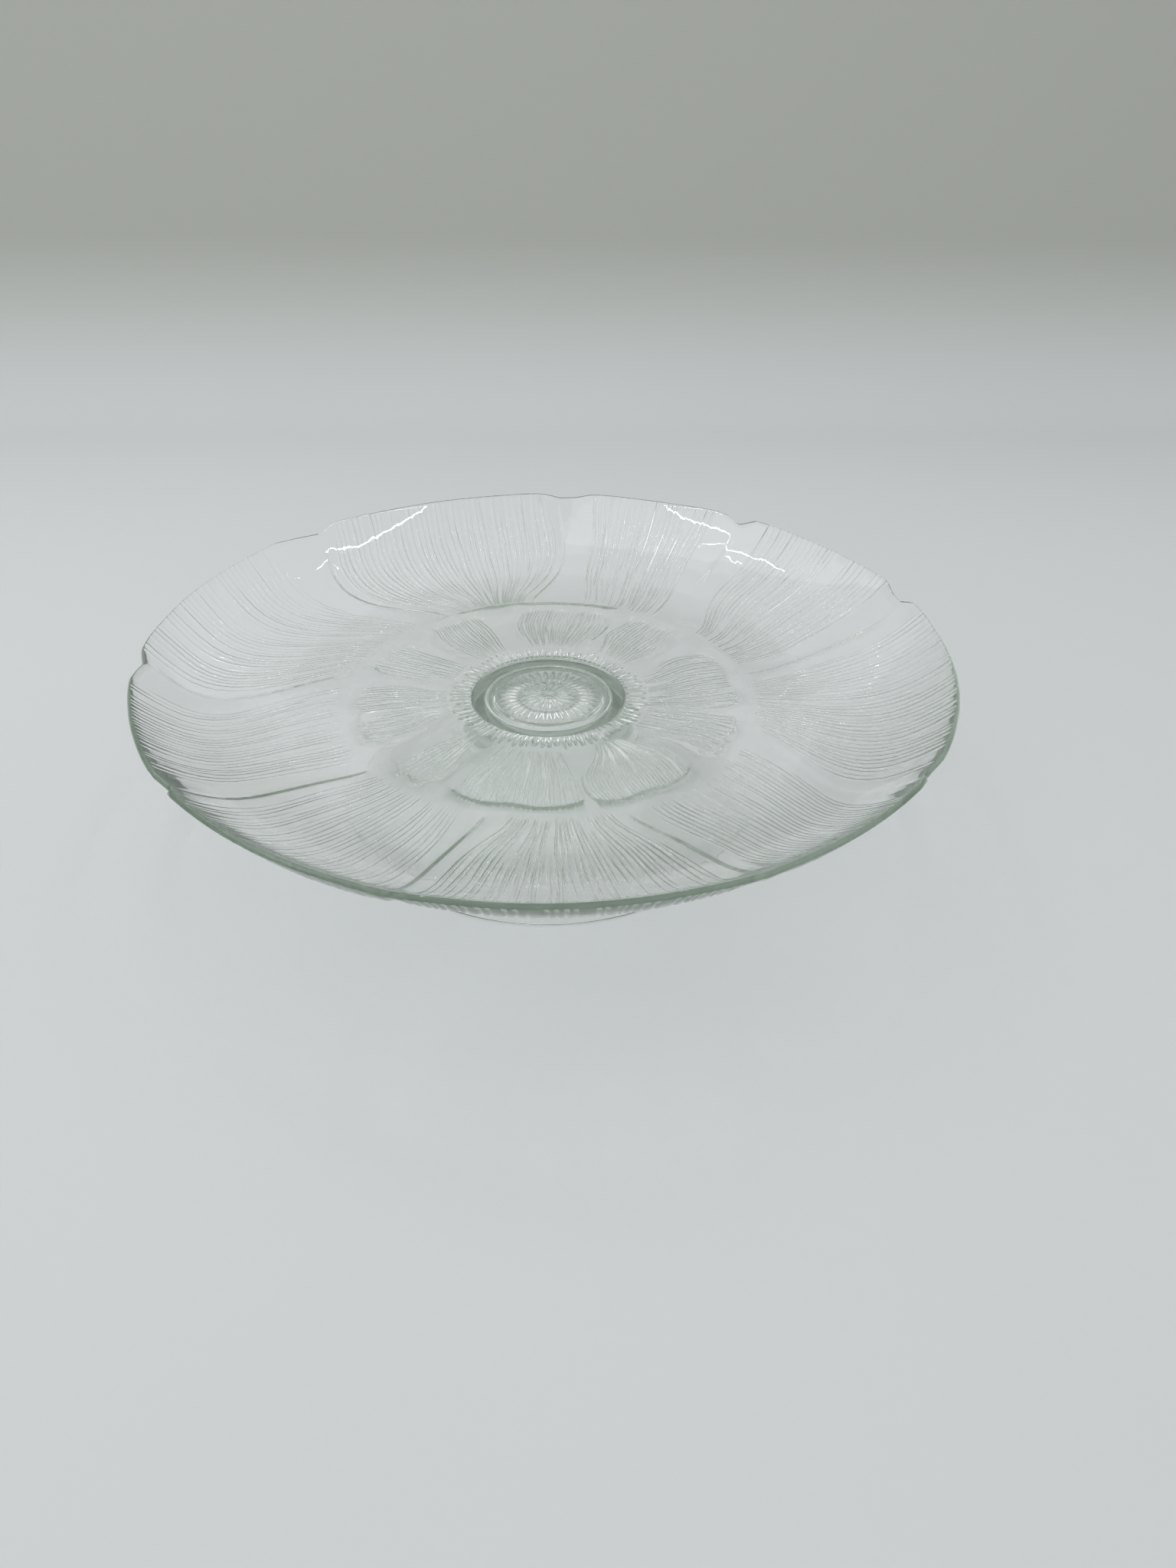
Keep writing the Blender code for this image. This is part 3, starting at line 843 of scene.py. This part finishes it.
# Heights over which the painted light pales the top of the wall
WALL_PAINTED_LIGHT_HEIGHTS = (0.28, 0.42)
FLOOR_FRONT = -6.0
FLOOR_HALF_WIDTH = 6.0
FLOOR_GAP = 0.0002


def opaque(colour, shift=0.0):
    """Colour with its alpha, a little lighter or darker if it is shifted."""
    return tuple(channel + shift for channel in colour) + (1.0,)


def colour_mix(nodes):
    """Node that mixes two colours."""
    mix = nodes.new("ShaderNodeMix")
    mix.data_type = "RGBA"
    return mix


def paper():
    """Pale paper, a little uneven, with painted shade that greys it where it stands up behind the plate,
    and painted light that pales it again towards the wall's top.
    """
    material = bpy.data.materials.new("paper")
    material.use_nodes = True
    nodes, links = material.node_tree.nodes, material.node_tree.links
    shader = nodes["Principled BSDF"]
    shader.inputs["Roughness"].default_value = PAPER_ROUGHNESS
    shader.inputs["Specular IOR Level"].default_value = PAPER_SHEEN
    place = nodes.new("ShaderNodeTexCoord")
    noise = nodes.new("ShaderNodeTexNoise")
    noise.inputs["Scale"].default_value = PAPER_VARIATION_SCALE
    floor_mix = colour_mix(nodes)
    floor_mix.inputs["A"].default_value = opaque(FLOOR_COLOUR, -PAPER_VARIATION)
    floor_mix.inputs["B"].default_value = opaque(FLOOR_COLOUR, PAPER_VARIATION)
    parts = nodes.new("ShaderNodeSeparateXYZ")
    height = nodes.new("ShaderNodeMapRange")
    height.interpolation_type = "SMOOTHSTEP"
    set_span(height, "From", (0.0, SWEEP_RADIUS))
    # Painted shade: greyer where the paper rises behind the plate
    painted_shade_mix = colour_mix(nodes)
    painted_shade_mix.inputs["B"].default_value = opaque(WALL_PAINTED_SHADE)
    # Painted light: paler again towards the top of the wall, fading into the bright surround
    above = nodes.new("ShaderNodeMapRange")
    set_span(above, "From", WALL_PAINTED_LIGHT_HEIGHTS)
    painted_light_mix = colour_mix(nodes)
    painted_light_mix.inputs["B"].default_value = opaque(WALL_PAINTED_LIGHT)
    links.new(place.outputs["Object"], noise.inputs["Vector"])
    links.new(place.outputs["Object"], parts.inputs["Vector"])
    links.new(noise.outputs["Fac"], floor_mix.inputs["Factor"])
    links.new(parts.outputs["Z"], height.inputs["Value"])
    links.new(height.outputs["Result"], painted_shade_mix.inputs["Factor"])
    links.new(floor_mix.outputs["Result"], painted_shade_mix.inputs["A"])
    links.new(parts.outputs["Z"], above.inputs["Value"])
    links.new(above.outputs["Result"], painted_light_mix.inputs["Factor"])
    links.new(painted_shade_mix.outputs["Result"], painted_light_mix.inputs["A"])
    links.new(painted_light_mix.outputs["Result"], shader.inputs["Base Color"])
    return material


def make_stage():
    """Floor that sweeps up behind the plate, as a sheet of paper does."""
    profile = [(FLOOR_FRONT, 0.0), (SWEEP_START, 0.0)]
    for step in range(1, SWEEP_STEPS + 1):
        angle = math.pi / 2.0 * step / SWEEP_STEPS
        back = SWEEP_START + SWEEP_RADIUS * math.sin(angle)
        profile.append((back, SWEEP_RADIUS * (1.0 - math.cos(angle))))
    profile.append((SWEEP_START + SWEEP_RADIUS, WALL_HEIGHT))
    points, faces = [], []
    for y, z in profile:
        points += [(-FLOOR_HALF_WIDTH, y, z), (FLOOR_HALF_WIDTH, y, z)]
    for step in range(len(profile) - 1):
        faces.append((2 * step, 2 * step + 1, 2 * step + 3, 2 * step + 2))
    mesh = bpy.data.meshes.new("paper_sweep")
    mesh.from_pydata(points, [], faces)
    mesh.shade_smooth()
    mesh.materials.append(paper())
    floor = bpy.data.objects.new("paper_sweep", mesh)
    floor.location.z = -FLOOR_GAP
    bpy.context.scene.collection.objects.link(floor)


# Light, with the surround's strengths at two heights above the horizon

WORLD_COLOUR = (0.97, 0.99, 1.0, 1.0)
WORLD_STRENGTHS = (0.38, 0.94)
WORLD_RISE = (0.05, 0.50)
SOFT_PLACE = (-0.70, 0.10, 1.20)
SOFT_SIZE = (1.6, 1.4)
SOFT_POWER = 5.5
STRIP_SIDE = 0.17
STRIP_BACK = 0.22
STRIP_HEIGHT = 0.72
STRIP_SIZE = (0.005, 0.46)
STRIP_POWER = 0.14


def make_light(name, location, target, size, power):
    """Rectangular light that faces its target."""
    lamp = bpy.data.lights.new(name, "AREA")
    lamp.shape = "RECTANGLE"
    lamp.size, lamp.size_y = size
    lamp.energy = power
    holder = bpy.data.objects.new(name, lamp)
    bpy.context.scene.collection.objects.link(holder)
    holder.location = location
    direction = Vector(target) - Vector(location)
    holder.rotation_euler = direction.to_track_quat("-Z", "Y").to_euler()


def make_lights():
    """Soft light from above, with two narrow strips over the plate that glint in its rim."""
    world = bpy.data.worlds.new("soft_surround")
    world.use_nodes = True
    nodes, links = world.node_tree.nodes, world.node_tree.links
    background = nodes["Background"]
    background.inputs["Color"].default_value = WORLD_COLOUR
    place = nodes.new("ShaderNodeTexCoord")
    parts = nodes.new("ShaderNodeSeparateXYZ")
    level = nodes.new("ShaderNodeMapRange")
    set_span(level, "From", WORLD_RISE)
    set_span(level, "To", WORLD_STRENGTHS)
    links.new(place.outputs["Generated"], parts.inputs["Vector"])
    links.new(parts.outputs["Z"], level.inputs["Value"])
    links.new(level.outputs["Result"], background.inputs["Strength"])
    bpy.context.scene.world = world
    make_light("top_soft", SOFT_PLACE, (0.0, 0.0, SERVING_HEIGHT), SOFT_SIZE, SOFT_POWER)
    for name, side in (("strip_left", -STRIP_SIDE), ("strip_right", STRIP_SIDE)):
        location = (side, STRIP_BACK, STRIP_HEIGHT)
        make_light(name, location, (side, STRIP_BACK, 0.0), STRIP_SIZE, STRIP_POWER)


# Camera, from a circle fitted to the rim in the photo, with its place in radii of the rim

PHOTO_HEIGHT = 2048
FOCAL_PIXELS = 1540.0
CAMERA_BACK = 2.624
CAMERA_UP = 1.404
CAMERA_PITCH = math.radians(35.08)
CAMERA_YAW = math.radians(2.29)
CAMERA_ROLL = math.radians(0.73)
CAMERA_CLIP = (0.01, 50.0)
SENSOR = 36.0


def make_camera():
    """Camera of the photo."""
    data = bpy.data.cameras.new("camera")
    data.sensor_width = SENSOR
    data.lens = FOCAL_PIXELS * SENSOR / PHOTO_HEIGHT
    data.clip_start, data.clip_end = CAMERA_CLIP
    camera = bpy.data.objects.new("camera", data)
    bpy.context.scene.collection.objects.link(camera)
    level = math.cos(CAMERA_PITCH)
    ahead = (math.sin(CAMERA_YAW) * level, math.cos(CAMERA_YAW) * level, -math.sin(CAMERA_PITCH))
    forward = np.array(ahead)
    side = np.cross(forward, (0.0, 0.0, 1.0))
    side /= np.linalg.norm(side)
    up = np.cross(side, forward)
    right = math.cos(CAMERA_ROLL) * side + math.sin(CAMERA_ROLL) * up
    above = np.cross(right, forward)
    turned = Matrix(np.stack((right, above, -forward), axis=1).tolist()).to_4x4()
    turned.translation = (0.0, -CAMERA_BACK * RIM_RADIUS, OVERALL_HEIGHT + CAMERA_UP * RIM_RADIUS)
    camera.matrix_world = turned
    bpy.context.scene.camera = camera


# Light paths, long enough for the glass edges to look green and short enough for the ribs to stay dark

GLASS_BOUNCES = 24
INDIRECT_CLAMP = 20.0


def set_view():
    """Plain colours, and light paths that suit the glass."""
    scene = bpy.context.scene
    scene.view_settings.view_transform = "Standard"
    scene.cycles.max_bounces = GLASS_BOUNCES
    scene.cycles.transmission_bounces = GLASS_BOUNCES
    scene.cycles.glossy_bounces = GLASS_BOUNCES
    scene.cycles.blur_glossy = 0.0
    scene.cycles.sample_clamp_indirect = INDIRECT_CLAMP


set_view()
make_plate(glass("plate_glass", PLATE_DENSITY, PLATE_WAVE_SIZE, PLATE_WAVE_HEIGHT))
# The foot's glass is the plate's green, made denser as painted shade in the ring round the stem
make_foot(glass("foot_glass", FOOT_DENSITY_WITH_SHADE, FOOT_WAVE_SIZE, FOOT_WAVE_HEIGHT))
make_stage()
make_lights()
make_camera()
